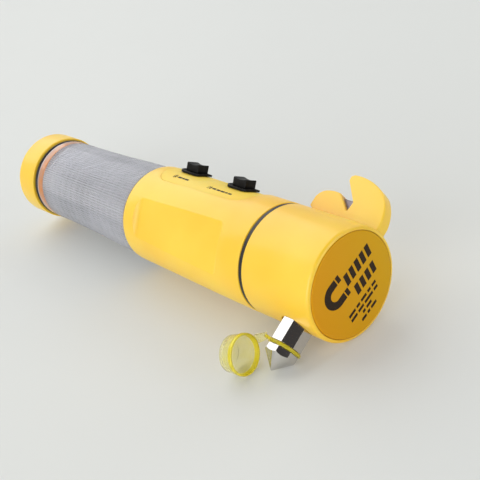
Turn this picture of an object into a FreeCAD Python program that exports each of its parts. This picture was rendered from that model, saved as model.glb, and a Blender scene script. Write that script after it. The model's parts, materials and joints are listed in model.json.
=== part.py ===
# LED safety flare: a torch with a side beacon, a magnetic base, a belt cutter and a window hammer.
# Frame: the origin is the centre of the magnetic base's face, +Y runs along the torch to its lamp
# and +Z is up as the flare lies on its side.
import FreeCAD, Part
import math
import os
import re
import Sketcher

Vector = FreeCAD.Vector
Rotation = FreeCAD.Rotation
Placement = FreeCAD.Placement
ALONG_TORCH = Rotation(Vector(1, 0, 0), -90)

# Driving dimensions in millimetres and degrees.
SIZES = {
    # tail cap, with its end face at Y = 0
    "cap_radius": 24.0, "cap_end": 38.9, "cap_rim": 0.3, "cap_bore": 21.8, "cap_inner": 20.0,
    "cap_bevel": 1.5, "cap_ledge": 22.0, "web_front": 6.8, "web_back": 8.2,
    "cover_radius": 22.2, "cover_back": 2.0,
    "magnet_radius": 14.0, "magnet_front": 2.4, "magnet_back": 5.4, "yoke_radius": 15.9,
    "pocket_radius": 16.3, "tail_angle": 60.7,
    # fin with the belt cutter
    "fin_thick": 5.8, "fin_root": 22.8, "fin_start": 38.4, "throat_along": 20.7, "throat_out": 27.6,
    "blade_thick": 0.8, "blade_slit": 1.0, "blade_edge": 33.4,
    # hammer
    "hammer_along": 14.0, "seat_radius": 7.4, "hammer_flats": 13.0, "hammer_seat": 22.9, "hammer_tip": 43.8,
    "groove_start": 32.7, "groove_end": 34.6, "groove_radius": 5.4, "shank_radius": 3.0,
    "nut_top": 19.3, "nut_thick": 4.6, "nut_flats": 8.0,
    "guard_ring_inner": 5.65, "guard_ring_outer": 7.3, "guard_ring_gap": 0.25,
    # guard cap on the hammer's tip
    "guard_mouth": 36.1, "guard_radius": 8.7, "guard_deep": 8.6, "guard_wall": 0.9,
    "guard_end_radius": 7.4, "guard_open": 85.5, "strap_reach": 9.5, "strap_wide": 4.4,
    # housing
    "neck_start": 29.0, "neck_radius": 21.5, "house_start": 41.0, "house_end": 124.5,
    "house_radius": 24.0, "house_far_radius": 22.8, "house_bore": 19.0, "socket_start": 116.4,
    "socket_radius": 20.5, "house_round": 1.6, "switch_angle": 31.0,
    "flat_reach": 21.0, "flat_start": 58.5, "flat_end": 112.5, "flat_slope": 4.0,
    "panel_start": 56.0, "panel_end": 117.0, "panel_floor": 22.5, "panel_face": 23.0,
    "panel_sweep": 70.0,
    # switches
    "torch_switch": 73.4, "beacon_switch": 105.9, "window_long": 10.2, "window_wide": 4.2,
    "flange_inner": 23.3, "flange_outer": 24.3, "flange_half": 7.2, "flange_sweep": 25.0,
    "knob_half": 4.3, "knob_wide": 6.4, "knob_top": 27.9, "knob_start": 23.8,
    "foot_half": 2.7, "foot_wide": 3.4, "foot_low": 18.4,
    "can_long": 12.0, "can_wide": 7.0, "can_top": 18.0, "board_top": 14.8, "board_low": 13.3,
    "board_half_wide": 7.0, "board_start": 60.0, "board_end": 114.5,
    # batteries
    "carrier_start": 27.0, "carrier_end": 83.4, "carrier_radius": 18.2, "carrier_flat": 12.8,
    "cell_radius": 7.1, "cell_pitch": 8.4, "cell_start": 29.8, "cell_long": 49.4,
    "cell_bore": 7.25, "cap_nub_radius": 2.7, "cap_nub": 1.1,
    # lens and beacon
    "lens_start": 117.0, "lens_plug": 20.3, "lens_shoulder": 124.8, "lens_neck": 18.0,
    "lens_front": 204.0, "lens_end": 213.0, "lens_near_radius": 21.8, "lens_waist": 20.0,
    "lens_far_radius": 19.8, "lens_wall": 1.8, "lens_throat": 16.4,
    "collar_start": 198.0, "collar_end": 203.4, "collar_inner": 15.6,
    "tower_radius": 8.5, "tower_wall": 1.6, "tower_start": 121.6, "tower_end": 186.0,
    "led_reach": 10.1, "led_size": 5.0, "led_first": 130.0, "led_step": 12.0,
    # head
    "seal_cord": 0.85, "tail_seal_along": 39.95, "tail_seal_radius": 22.75,
    "head_seal_along": 205.15, "head_seal_radius": 19.15,
    "bezel_start": 206.3, "bezel_end": 221.5, "bezel_radius": 20.9, "bezel_bore": 18.4,
    "bezel_lip": 219.5, "bezel_mouth": 17.0,
    "window_front": 219.4, "window_back": 217.4, "window_radius": 18.2,
    "gasket_back": 216.4, "gasket_inner": 16.9,
    "reflector_rim": 215.6, "reflector_seat": 213.2, "reflector_radius": 17.9,
    "reflector_mouth": 15.4, "reflector_throat": 3.0, "reflector_back": 192.0,
}

doc = FreeCAD.newDocument("led_safety_flare")
sheet = doc.addObject("Spreadsheet::Sheet", "Sizes")


def fill_sheet():
    """Write every driving dimension into the sheet, as a plain number with an alias."""
    for row, (alias, number) in enumerate(SIZES.items(), start=1):
        sheet.set("A%d" % row, alias)
        sheet.set("B%d" % row, str(number))
        sheet.setAlias("B%d" % row, alias)
    doc.recompute()


def linked(expression):
    """The expression with each alias pointing at the sheet, for setExpression."""
    return re.sub(r"[a-z_]+", lambda word: "Sizes." + word.group() if word.group() in SIZES
                  else word.group(), str(expression))


def amount(expression):
    """The number that an expression on the sheet's aliases stands for."""
    return float(sheet.evalExpression(str(expression)))


def new_body(label):
    body = doc.addObject("PartDesign::Body", label)
    body.Label = label
    return body


def new_sketch(body, role):
    """A sketch on one of the body's own origin planes."""
    sketch = body.newObject("Sketcher::SketchObject", body.Name + "_sketch")
    plane = next(feature for feature in body.Origin.OriginFeatures if feature.Role == role)
    sketch.AttachmentSupport = [(plane, "")]
    sketch.MapMode = "FlatFace"
    return sketch


def pin(sketch, piece, end, kind, expression):
    """Hold one end of a piece of outline at an expression's distance from the sketch's origin."""
    number = amount(expression)
    if abs(number) < 1e-9:
        axis = -2 if kind == "DistanceX" else -1
        sketch.addConstraint(Sketcher.Constraint("PointOnObject", piece, end, axis))
        return
    places = (-1, 1, piece, end) if number > 0 else (piece, end, -1, 1)
    index = sketch.addConstraint(Sketcher.Constraint(kind, *places, abs(number)))
    sign = "" if number > 0 else "-1 * "
    sketch.setExpression("Constraints[%d]" % index, "%s(%s)" % (sign, linked(expression)))


def arc_between(start, finish, bulge):
    """A counterclockwise arc of radius bulge that swells to the right of the way from start."""
    chord = finish - start
    half = chord.Length / 2
    rise = bulge - math.sqrt(max(bulge * bulge - half * half, 0))
    right = Vector(chord.y, -chord.x, 0).normalize()
    return Part.Arc(start, (start + finish) * 0.5 + right * rise, finish)


def outline(sketch, corners):
    """A closed counterclockwise outline of (across, along) corners.

    A corner's third value, where there is one, is the radius of the arc from it to the next."""
    first = sketch.GeometryCount
    points = [Vector(amount(corner[0]), amount(corner[1]), 0) for corner in corners]
    for number, corner in enumerate(corners):
        start = points[number]
        finish = points[(number + 1) % len(points)]
        if len(corner) == 2:
            sketch.addGeometry(Part.LineSegment(start, finish), False)
        else:
            sketch.addGeometry(arc_between(start, finish, amount(corner[2])), False)
    for number, corner in enumerate(corners):
        piece = first + number
        after = first + (number + 1) % len(corners)
        sketch.addConstraint(Sketcher.Constraint("Coincident", piece, 2, after, 1))
        pin(sketch, piece, 1, "DistanceX", corner[0])
        pin(sketch, piece, 1, "DistanceY", corner[1])
    for number, corner in enumerate(corners):
        if len(corner) == 3:
            curve = first + number
            index = sketch.addConstraint(Sketcher.Constraint("Radius", curve, amount(corner[2])))
            sketch.setExpression("Constraints[%d]" % index, linked(corner[2]))


def turned(label, corners, plane="XY_Plane", sweep=360):
    """A body turned about the vertical axis of its sketch from a (radius, along) outline."""
    body = new_body(label)
    revolve(body, corners, plane, "V_Axis", sweep)
    return body


def revolve(body, corners, plane, axis, sweep):
    sketch = new_sketch(body, plane)
    outline(sketch, corners)
    turn = body.newObject("PartDesign::Revolution", body.Name + "_turn")
    turn.Profile = sketch
    turn.ReferenceAxis = (sketch, [axis])
    if sweep != 360:
        turn.Midplane = True
        turn.setExpression("Angle", linked(sweep))
    doc.recompute()
    return turn


def pad(body, corners, plane, thick):
    """Add an outline's plate, as thick as the expression says, centred on the sketch's plane."""
    sketch = new_sketch(body, plane)
    outline(sketch, corners)
    feature = body.newObject("PartDesign::Pad", body.Name + "_pad")
    feature.Profile = sketch
    feature.Midplane = True
    feature.setExpression("Length", linked(thick))
    doc.recompute()
    return feature


def pocket(body, draw, plane, thick, both_sides=True, upward=False, lift="0"):
    """Cut away what draw puts in the sketch, either side of its plane or to one side of it."""
    before = body.Shape.Volume
    sketch = new_sketch(body, plane)
    draw(sketch)
    sketch.setExpression("AttachmentOffset.Base.z", linked(lift))
    feature = body.newObject("PartDesign::Pocket", body.Name + "_pocket")
    feature.Profile = sketch
    feature.Midplane = both_sides
    feature.Reversed = upward
    feature.setExpression("Length", linked(thick))
    doc.recompute()
    assert body.Shape.Volume < before - 0.1, feature.Label + " cuts nothing"
    return feature


def round_edges(body, radius, wanted):
    """Fillet the edges of the body's tip that wanted(edge) picks."""
    names = ["Edge%d" % number for number, edge in enumerate(body.Shape.Edges, start=1)
             if wanted(edge)]
    assert names, "no edge to round on " + body.Label
    rounded = body.Tip
    fillet = body.newObject("PartDesign::Fillet", body.Name + "_round")
    fillet.Base = (rounded, names)
    fillet.setExpression("Radius", linked(radius))
    doc.recompute()
    return fillet


def rectangle(low_across, low_along, high_across, high_along):
    return [(low_across, low_along), (high_across, low_along),
            (high_across, high_along), (low_across, high_along)]


def round_hole(radius, along):
    """A function that draws a circle about a point on the torch's axis."""
    def draw(sketch):
        centre = Vector(0, amount(along), 0)
        index = sketch.addGeometry(Part.Circle(centre, Vector(0, 0, 1), amount(radius)), False)
        sketch.addConstraint(Sketcher.Constraint("PointOnObject", index, 3, -2))
        place = sketch.addConstraint(Sketcher.Constraint("DistanceY", -1, 1, index, 3, centre.y))
        size = sketch.addConstraint(Sketcher.Constraint("Radius", index, amount(radius)))
        sketch.setExpression("Constraints[%d]" % place, linked(along))
        sketch.setExpression("Constraints[%d]" % size, linked(radius))
    return draw


def outlines(*shapes):
    """A function that draws several outlines in one sketch."""
    def draw(sketch):
        for corners in shapes:
            outline(sketch, corners)
    return draw


def turn_about_torch(piece, alias):
    """Swing a piece about the torch's axis by the angle that the sheet gives."""
    piece.Placement = Placement(Vector(), Rotation(Vector(0, 1, 0), amount(alias)))
    piece.setExpression("Placement.Rotation.Angle", linked(alias))


def at_circle(radius, along):
    """A test for the full circles about the Y axis with this radius and place."""
    def is_there(edge):
        curve = edge.Curve
        return (isinstance(curve, Part.Circle) and abs(curve.Radius - amount(radius)) < 1e-4
                and abs(curve.Center.y - amount(along)) < 1e-4)
    return is_there


def cylinder(name, radius, length):
    piece = doc.addObject("Part::Cylinder", name)
    piece.setExpression("Radius", linked(radius))
    piece.setExpression("Height", linked(length))
    return piece


def block(name, length, width, height):
    piece = doc.addObject("Part::Box", name)
    piece.setExpression("Length", linked(length))
    piece.setExpression("Width", linked(width))
    piece.setExpression("Height", linked(height))
    return piece


def combined(kind, name, base, tool):
    piece = doc.addObject("Part::" + kind, name)
    piece.Base = base
    piece.Tool = tool
    return piece


def joined(name, pieces):
    piece = doc.addObject("Part::Compound", name)
    piece.Links = pieces
    return piece


# ---------------------------------------------------------------- tail cap and what it carries

def make_tail_cap():
    """The cap turned as a cup, with the belt cutter's fin, the cutter's slit and the hammer's seat."""
    cap = turned("tail_cap", [
        (0, "web_front"), ("pocket_radius", "web_front"), ("pocket_radius", "cover_back + 0.1"),
        ("cover_radius + 0.2", "cover_back + 0.1"), ("cover_radius + 0.2", "cap_rim"),
        ("cap_radius - cap_bevel", "cap_rim"), ("cap_radius", "cap_rim + cap_bevel"),
        ("cap_radius", "cap_end"), ("cap_bore", "cap_end"), ("cap_bore", "cap_ledge"),
        ("cap_inner", "cap_ledge"), ("cap_inner", "web_back"), (0, "web_back")])
    round_edges(cap, 1.4, at_circle("cap_radius", "cap_rim + cap_bevel"))
    pad(cap, [
        ("fin_start", "fin_root"), ("fin_start", 24.3), (40.6, 25.4), (40.4, 29.8, 6.0),
        (36.4, 33.9, 16.0), (28.6, 34.3), ("throat_along", "throat_out"), (20.2, 32.0),
        (28.4, 40.8), (28.5, 43.0), (26.8, 43.9, 30.0), (8.0, 39.0, 21.0), (1.2, 27.0),
        (1.2, "fin_root")], "YZ_Plane", "fin_thick")
    pocket(cap, outlines(rectangle(16.4, 26.2, 28.4, "blade_edge + 0.3")), "YZ_Plane", "blade_slit")
    pocket(cap, round_hole("shank_radius + 0.15", "hammer_along"), "XY_Plane", "cap_radius",
           both_sides=False)
    pocket(cap, round_hole("seat_radius", "hammer_along"), "XY_Plane", "cap_radius",
           both_sides=False, lift="-1 * hammer_seat")
    turn_about_torch(cap, "tail_angle")
    return cap


def make_cutter_blade():
    blade = new_body("cutter_blade")
    pad(blade, rectangle(16.6, 26.4, 28.2, "blade_edge"), "YZ_Plane", "blade_thick")
    names = ["Edge%d" % number for number, edge in enumerate(blade.Shape.Edges, start=1)
             if abs(edge.CenterOfMass.z - amount("blade_edge")) < 1e-6 and edge.Length > 5]
    plate = blade.Tip
    chamfer = blade.newObject("PartDesign::Chamfer", "blade_edge_grind")
    chamfer.Base = (plate, names)
    chamfer.Size = 0.35
    doc.recompute()
    turn_about_torch(blade, "tail_angle")
    return blade


def make_magnet_parts():
    cover = turned("magnet_cover", [(0, 0), ("cover_radius - 0.4", 0), ("cover_radius", 0.4),
                                    ("cover_radius", "cover_back"), (0, "cover_back")])
    magnet = turned("magnet", rectangle(0, "magnet_front", "magnet_radius", "magnet_back"))
    yoke = turned("magnet_yoke", [
        ("magnet_radius + 0.4", "magnet_front"), ("yoke_radius", "magnet_front"),
        ("yoke_radius", "web_front - 0.1"), (0, "web_front - 0.1"), (0, "magnet_back + 0.1"),
        ("magnet_radius + 0.4", "magnet_back + 0.1")])
    return [cover, magnet, yoke]


def make_tail_contacts():
    """The disc that carries the battery contact in the cap, and its spring."""
    disc = turned("tail_contact_disc", rectangle(0, "cap_ledge + 0.05", "cap_bore - 0.4", 23.6))
    spring = doc.addObject("Part::Feature", "tail_spring")
    helix = Part.makeHelix(1.0, 2.6, 4.6)
    circle = Part.Wire(Part.Circle(Vector(4.6, 0, 0), Vector(0, 1, 0), 0.3).toShape())
    spring.Shape = Part.Wire(helix).makePipeShell([circle], True, True)
    spring.Placement = Placement(Vector(0, 23.95, 0), ALONG_TORCH)
    return [disc, spring]


def hammer_frame():
    """The place of the hammer's axis, which leaves the torch on the side away from the fin."""
    return Placement(Vector(0, amount("hammer_along"), 0),
                     Rotation(Vector(0, 1, 0), amount("tail_angle") - 180))


def hammer_place(piece):
    """Lay a piece that stands on its own Z axis along the hammer."""
    piece.Placement = hammer_frame()


def octagon(name, flats, length):
    piece = doc.addObject("Part::Prism", name)
    piece.Polygon = 8
    piece.setExpression("Circumradius", linked("%s / 2 / cos(22.5)" % flats))
    piece.setExpression("Height", linked(length))
    return piece


def make_hammer():
    """An octagonal bar with a 45 degree point, a groove for the guard's ring and a threaded shank."""
    bar = octagon("hammer_bar", "hammer_flats", "hammer_tip - hammer_seat")
    bar.Placement.Rotation = Rotation(Vector(0, 0, 1), 22.5)
    bar.setExpression("Placement.Base.z", linked("hammer_seat"))
    cone = doc.addObject("Part::Cone", "hammer_cone")
    cone.setExpression("Radius1", linked("hammer_tip - hammer_seat + 0.3"))
    cone.Radius2 = 0.3
    cone.setExpression("Height", linked("hammer_tip - hammer_seat"))
    cone.setExpression("Placement.Base.z", linked("hammer_seat"))
    point = combined("Common", "hammer_point", bar, cone)
    outer = cylinder("groove_outer", "hammer_flats", "groove_end - groove_start")
    inner = cylinder("groove_inner", "groove_radius", "groove_end - groove_start")
    ring = combined("Cut", "groove_ring", outer, inner)
    ring.setExpression("Placement.Base.z", linked("groove_start"))
    grooved = combined("Cut", "hammer_grooved", point, ring)
    shank = cylinder("hammer_shank", "shank_radius", "hammer_seat - nut_top + nut_thick + 1.2")
    shank.setExpression("Placement.Base.z", linked("nut_top - nut_thick - 1"))
    head = combined("Fuse", "hammer_head", grooved, shank)
    hammer_place(head)
    return head


def make_hammer_nut():
    nut = doc.addObject("Part::Prism", "nut_blank")
    nut.Polygon = 6
    nut.setExpression("Circumradius", linked("nut_flats / 2 / cos(30)"))
    nut.setExpression("Height", linked("nut_thick"))
    bore = cylinder("nut_bore", "shank_radius + 0.05", "nut_thick")
    piece = combined("Cut", "hammer_nut", nut, bore)
    lift = Placement(Vector(0, 0, amount("nut_top - nut_thick")), Rotation())
    piece.Placement = hammer_frame().multiply(lift)
    return piece


def make_guard_ring():
    ring = turned("guard_ring", [
        ("guard_ring_inner", "groove_start + guard_ring_gap"),
        ("guard_ring_outer", "groove_start + guard_ring_gap"),
        ("guard_ring_outer", "groove_end - guard_ring_gap"),
        ("guard_ring_inner", "groove_end - guard_ring_gap")], "XZ_Plane")
    hammer_place(ring)
    return ring


def guard_turn():
    """The turn from the closed guard cap to the open one, about the strap's fold."""
    fold_point = Vector(-31.2, 23.8, -14.7)
    fold_axis = Vector(-0.04, -0.29, 0.96)
    fold = Rotation(fold_axis, -amount("guard_open"))
    return Placement(Vector(), fold, fold_point)


def make_guard_cap():
    """The soft cup for the hammer's point, closed first and then swung open about its strap."""
    mouth, deep, wall = "guard_mouth", "guard_deep", "guard_wall"
    cap = turned("guard_cap", [
        ("guard_radius - guard_wall", mouth), ("guard_radius", mouth),
        ("guard_radius", mouth + " + 1.4"), ("guard_radius - 0.5", mouth + " + 1.9"),
        ("guard_end_radius", "%s + %s - 1.2" % (mouth, deep)),
        ("guard_end_radius - 1.2", "%s + %s" % (mouth, deep)), (0, "%s + %s" % (mouth, deep)),
        (0, "%s + %s - 0.7" % (mouth, deep)),
        ("guard_end_radius - 1.6", "%s + %s - 0.7" % (mouth, deep)),
        ("guard_end_radius - " + wall, "%s + %s - 1.5" % (mouth, deep))], "XZ_Plane")
    cap.Placement = guard_turn().multiply(hammer_frame())
    return cap


def make_guard_strap():
    """The flat strap from a lug on the guard's ring to the rim of its open cap.

    It is wide along the fold's axis, so that it bends there as the cap closes."""
    hammer, opened = hammer_frame(), guard_turn().multiply(hammer_frame())
    middle = hammer.multVec(Vector(0, 0, amount("(groove_start + groove_end) / 2")))
    out = Vector(-0.46, 0.342, 0.82).normalize()
    bar_way = hammer.Rotation.multVec(Vector(0, 0, 1))
    rim_way = opened.Rotation.multVec(Vector(0, 0, 1))
    to_strap = Vector(0.966, 0.217, 0.138)
    to_strap = (to_strap - rim_way * to_strap.dot(rim_way)).normalize()
    start = middle + out * amount("strap_reach")
    finish = (opened.multVec(Vector(0, 0, amount("guard_mouth + 0.7")))
              + to_strap * amount("guard_radius + 0.5"))
    fold_way = Vector(-0.04, -0.29, 0.96).normalize()
    through = fold_way.cross(finish - start).normalize()
    web = Part.makeLoft([section(start, fold_way, through, amount("strap_wide"), 0.9),
                         section(finish, rim_way.cross(to_strap), to_strap, amount("strap_wide"), 0.5)], True, True)
    across = bar_way.cross(out)
    lug = Part.makeLoft([section(middle + out * reach, across, bar_way, 1.8, 1.2)
                         for reach in (amount("guard_ring_outer") + 0.1, amount("strap_reach") + 0.7)], True, True)
    strap = doc.addObject("Part::Feature", "guard_strap")
    strap.Shape = web.fuse(lug).removeSplitter()
    return strap


def section(centre, wide_way, thick_way, wide, thick):
    """A rectangular wire of the given width and thickness about a centre."""
    across = wide_way.normalize() * (wide / 2)
    through = thick_way.normalize() * (thick / 2)
    corners = [centre - across - through, centre + across - through,
               centre + across + through, centre - across + through]
    return Part.makePolygon(corners + corners[:1])


# ---------------------------------------------------------------- housing, switches, batteries

def make_housing():
    """The grip: a turned tube with a neck for the cap, two side flats and the switch panel."""
    body = turned("body_housing", [
        ("house_bore", "neck_start"), ("neck_radius - 0.8", "neck_start"),
        ("neck_radius", "neck_start + 0.8"), ("neck_radius", "house_start"),
        ("house_radius", "house_start"), ("house_radius", 50), (23.65, 75),
        ("house_far_radius", "house_end - 4"), ("house_far_radius - 0.2", "house_end"),
        ("socket_radius", "house_end"), ("socket_radius", "socket_start"),
        ("house_bore", "socket_start")])
    round_edges(body, "house_round", at_circle("house_far_radius - 0.2", "house_end"))
    flat = [("flat_reach", "flat_start"), ("flat_reach", "flat_end"),
            ("flat_reach + 4", "flat_end + flat_slope"), ("flat_reach + 8", "flat_end + flat_slope"),
            ("flat_reach + 8", "flat_start - flat_slope"),
            ("flat_reach + 4", "flat_start - flat_slope")]
    mirrored = [("-1 * (%s)" % across, along) for across, along in flat]
    pocket(body, outlines(flat, mirrored), "XY_Plane", "2 * house_radius")
    groove = body.newObject("PartDesign::Groove", "panel_recess")
    sketch = new_sketch(body, "YZ_Plane")
    outline(sketch, rectangle("panel_start", "panel_floor", "panel_end", "panel_floor + 3"))
    groove.Profile = sketch
    groove.ReferenceAxis = (sketch, ["H_Axis"])
    groove.Midplane = True
    groove.setExpression("Angle", linked("panel_sweep"))
    body.Tip = groove
    doc.recompute()
    pocket(body, outlines(*switch_windows()), "XY_Plane", 30, both_sides=False, upward=True)
    turn_about_torch(body, "switch_angle")
    return body


def switch_windows():
    """The two slots that the switch sliders' feet run in."""
    return [rectangle("-1 * window_wide / 2", "%s - window_long / 2" % along,
                      "window_wide / 2", "%s + window_long / 2" % along)
            for along in ("torch_switch", "beacon_switch")]


def make_switch_panel():
    panel = new_body("switch_panel")
    revolve(panel, rectangle("panel_start + 0.2", "panel_floor + 0.02", "panel_end - 0.2",
                             "panel_face"), "YZ_Plane", "H_Axis", "panel_sweep - 1")
    pocket(panel, outlines(*switch_windows()), "XY_Plane", 30, both_sides=False, upward=True)
    turn_about_torch(panel, "switch_angle")
    return panel


def make_slider(label, along):
    """A slide switch's knob on its flange, with the foot that goes in through the wall.

    At rest each slider stands at the off end of its travel, two millimetres back of its window's
    middle."""
    slider = new_body(label)
    place = "%s - 2" % along
    revolve(slider, rectangle(place + " - flange_half", "flange_inner", place + " + flange_half",
                              "flange_outer"), "YZ_Plane", "H_Axis", "flange_sweep")
    pad(slider, rectangle(place + " - knob_half", "knob_start", place + " + knob_half",
                          "knob_top"), "YZ_Plane", "knob_wide")
    pad(slider, rectangle(place + " - foot_half", "foot_low", place + " + foot_half",
                          "knob_start + 0.1"), "YZ_Plane", "foot_wide")
    turn_about_torch(slider, "switch_angle")
    return slider


def upright_block(name, along_low, along_high, half_wide, low, high):
    """A box under the switch panel, given by its run along the torch and its height."""
    piece = block(name, "2 * (%s)" % half_wide, "(%s) - (%s)" % (along_high, along_low),
                  "(%s) - (%s)" % (high, low))
    corner = Vector(-amount(half_wide), amount(along_low), amount(low))
    turn = Rotation(Vector(0, 1, 0), amount("switch_angle"))
    piece.Placement = Placement(turn.multVec(corner), turn)
    piece.Label = name
    return piece


def make_electronics():
    board = upright_block("switch_board", "board_start", "board_end", "board_half_wide",
                          "board_low", "board_top")
    switches = [upright_block(name, "%s - can_long / 2" % along, "%s + can_long / 2" % along,
                              "can_wide / 2", "board_top + 0.02", "can_top")
                for name, along in (("torch_slide_switch", "torch_switch"),
                                    ("beacon_slide_switch", "beacon_switch"))]
    contact = turned("front_contact_board", rectangle(0, 84.4, "carrier_flat - 0.5", 86.0))
    return [board, contact] + switches


def cell_way(number):
    """The angle of a cell's axis about the torch, with the gap between two cells at the switches."""
    return amount("switch_angle") + 60 + 120 * number


def cell_centre(number, along):
    turn = math.radians(cell_way(number))
    pitch = amount("cell_pitch")
    return Vector(pitch * math.sin(turn), along, pitch * math.cos(turn))


def make_carrier():
    """The battery carrier: a drum with a flat for the switch board and three cell bores."""
    drum = cylinder("carrier_drum", "carrier_radius", "carrier_end - carrier_start")
    drum.Placement = Placement(Vector(0, amount("carrier_start"), 0), ALONG_TORCH)
    tools = []
    for number in range(3):
        bore = cylinder("cell_bore_%d" % (number + 1), "cell_bore",
                        "cell_long + cap_nub + 0.9")
        bore.Placement = Placement(cell_centre(number, amount("cell_start - 0.4")), ALONG_TORCH)
        tools.append(bore)
    flat = upright_block("carrier_flat_tool", "carrier_start - 1", "carrier_end + 1", 20,
                         "carrier_flat", "carrier_flat + 10")
    tools.append(flat)
    piece = combined("Cut", "battery_carrier", drum, joined("carrier_tools", tools))
    return piece


def make_cells():
    cells = []
    for number in range(3):
        can = cylinder("cell_can_%d" % (number + 1), "cell_radius", "cell_long")
        nub = cylinder("cell_nub_%d" % (number + 1), "cap_nub_radius", "cap_nub + 1")
        nub.setExpression("Placement.Base.z", linked("cell_long - 1"))
        cell = combined("Fuse", "battery_cell_%d" % (number + 1), can, nub)
        cell.Placement = Placement(cell_centre(number, amount("cell_start")), ALONG_TORCH)
        cells.append(cell)
    return cells


# ---------------------------------------------------------------- lens, beacon and torch head

def make_lens():
    """The clear tube round the beacon, waisted in the middle, with a neck for the bezel."""
    return turned("beacon_lens", [
        ("lens_plug", "lens_start"), ("lens_plug", "lens_shoulder"),
        ("lens_near_radius", "lens_shoulder"), (21.2, 142), (20.4, 160), ("lens_waist", 176),
        ("lens_far_radius", 190), ("lens_far_radius", "lens_front"),
        ("lens_neck", "lens_front"), ("lens_neck", "lens_end"), ("lens_throat", "lens_end"),
        ("lens_throat", "lens_front"), ("lens_far_radius - lens_wall", "lens_front"),
        ("lens_far_radius - lens_wall", 172), (18.9, 142), (18.7, "lens_start")])


def make_beacon():
    """The tower that carries the beacon's lamps, its base plate, its lamps and the amber collar."""
    tower = turned("beacon_tower", rectangle("tower_radius - tower_wall", "tower_start",
                                             "tower_radius", "tower_end"))
    base = turned("beacon_base_plate", rectangle(0, 119.4, 18.3, "tower_start - 0.02"))
    collar = turned("amber_collar", rectangle("collar_inner", "collar_start",
                                              "lens_far_radius - lens_wall - 0.2", "collar_end"))
    return [tower, base, collar, make_beacon_lamps()]


def make_beacon_lamps():
    """Square lamps in rows of five along six sides of the tower."""
    lamps = []
    for row in range(6):
        turn = Rotation(Vector(0, 1, 0), 60 * row)
        for number in range(5):
            lamp = Part.makeBox(amount("led_size"), amount("led_size"), amount("led_reach")
                                - amount("tower_radius") + 0.3)
            along = amount("led_first") + number * amount("led_step")
            lamp.Placement = Placement(turn.multVec(Vector(-amount("led_size") / 2, along,
                                                           amount("tower_radius") + 0.02)), turn)
            lamps.append(lamp)
    piece = doc.addObject("Part::Feature", "beacon_lamps")
    piece.Shape = Part.makeCompound(lamps)
    return piece


def make_torch_lamp():
    board = turned("torch_lamp_board", rectangle(0, 187.0, 9.0, 188.6))
    base = cylinder("lamp_base", 2.6, 2.0)
    dome = doc.addObject("Part::Sphere", "lamp_dome")
    dome.Radius = 2.5
    dome.Placement.Base.z = 2.6
    lamp = combined("Fuse", "torch_lamp", base, dome)
    lamp.Placement = Placement(Vector(0, 188.7, 0), ALONG_TORCH)
    reflector = turned("reflector", [
        ("reflector_throat", "reflector_back"), ("reflector_throat + 1.2", "reflector_back"),
        (8.6, 195.2), (13.3, 201.0), ("reflector_mouth + 0.7", "reflector_seat"),
        ("reflector_radius", "reflector_seat"), ("reflector_radius", "reflector_rim"),
        ("reflector_mouth", "reflector_rim"), (12.0, 201.6), (7.4, 196.0)])
    return [board, lamp, reflector]


def make_head():
    bezel = turned("head_bezel", [
        ("bezel_bore", "bezel_start"), ("bezel_radius - 0.7", "bezel_start"),
        ("bezel_radius", "bezel_start + 1.8"), ("bezel_radius", "bezel_end - 2.6"),
        ("bezel_radius - 1.6", "bezel_end"), ("bezel_mouth", "bezel_end"),
        ("bezel_mouth", "bezel_lip"), ("bezel_bore", "bezel_lip")])
    window = turned("front_window", rectangle(0, "window_back", "window_radius", "window_front"))
    gasket = turned("window_gasket", rectangle("gasket_inner", "gasket_back", "window_radius",
                                               "window_back - 0.02"))
    return [bezel, window, gasket]


def make_seal(label, ring_radius, along):
    seal = doc.addObject("Part::Torus", label)
    seal.setExpression("Radius1", linked(ring_radius))
    seal.setExpression("Radius2", linked("seal_cord"))
    seal.Placement = Placement(Vector(0, amount(along), 0), ALONG_TORCH)
    seal.setExpression("Placement.Base.y", linked(along))
    return seal


def make_all():
    fill_sheet()
    pieces = [make_tail_cap(), make_cutter_blade(), make_hammer(), make_hammer_nut(),
              make_guard_ring(), make_guard_strap(), make_guard_cap(), make_housing(),
              make_switch_panel(), make_slider("torch_slider", "torch_switch"),
              make_slider("beacon_slider", "beacon_switch"), make_carrier(), make_lens(),
              make_seal("tail_seal", "tail_seal_radius", "tail_seal_along"),
              make_seal("head_seal", "head_seal_radius", "head_seal_along")]
    pieces += make_magnet_parts() + make_tail_contacts() + make_electronics() + make_cells()
    pieces += make_beacon() + make_torch_lamp() + make_head()
    return pieces


def check_and_export(pieces):
    doc.recompute()
    for item in doc.Objects:
        assert not {"Invalid", "Error"} & set(item.State), item.Label + " failed"
    os.makedirs("parts", exist_ok=True)
    for piece in pieces:
        shape = piece.Shape
        assert not shape.isNull() and shape.isValid(), piece.Label + " has no valid shape"
        assert shape.Volume > 1, piece.Label + " is empty"
    for piece in pieces:
        piece.Shape.exportStep("parts/%s.step" % piece.Label)
        print("%-22s %9.1f mm3, %d solids" % (piece.Label, piece.Shape.Volume,
                                              len(piece.Shape.Solids)))


check_and_export(make_all())
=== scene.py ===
"""LED safety flare: the visual model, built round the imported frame.

Each operator builds one piece or one group of like pieces where the frame says. The torch lies
along Y, with its magnetic tail at the origin. Outlines are written in millimetres and built in
metres. Pieces about the switches are shaped with the switches on top and then turned by the
switch angle; the fin and the hammer by the tail's angle.
"""
import json
import math
from contextlib import contextmanager

import bmesh
import bpy
from bpy.props import FloatProperty, FloatVectorProperty, IntProperty, PointerProperty
from mathutils import Matrix, Quaternion, Vector


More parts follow.
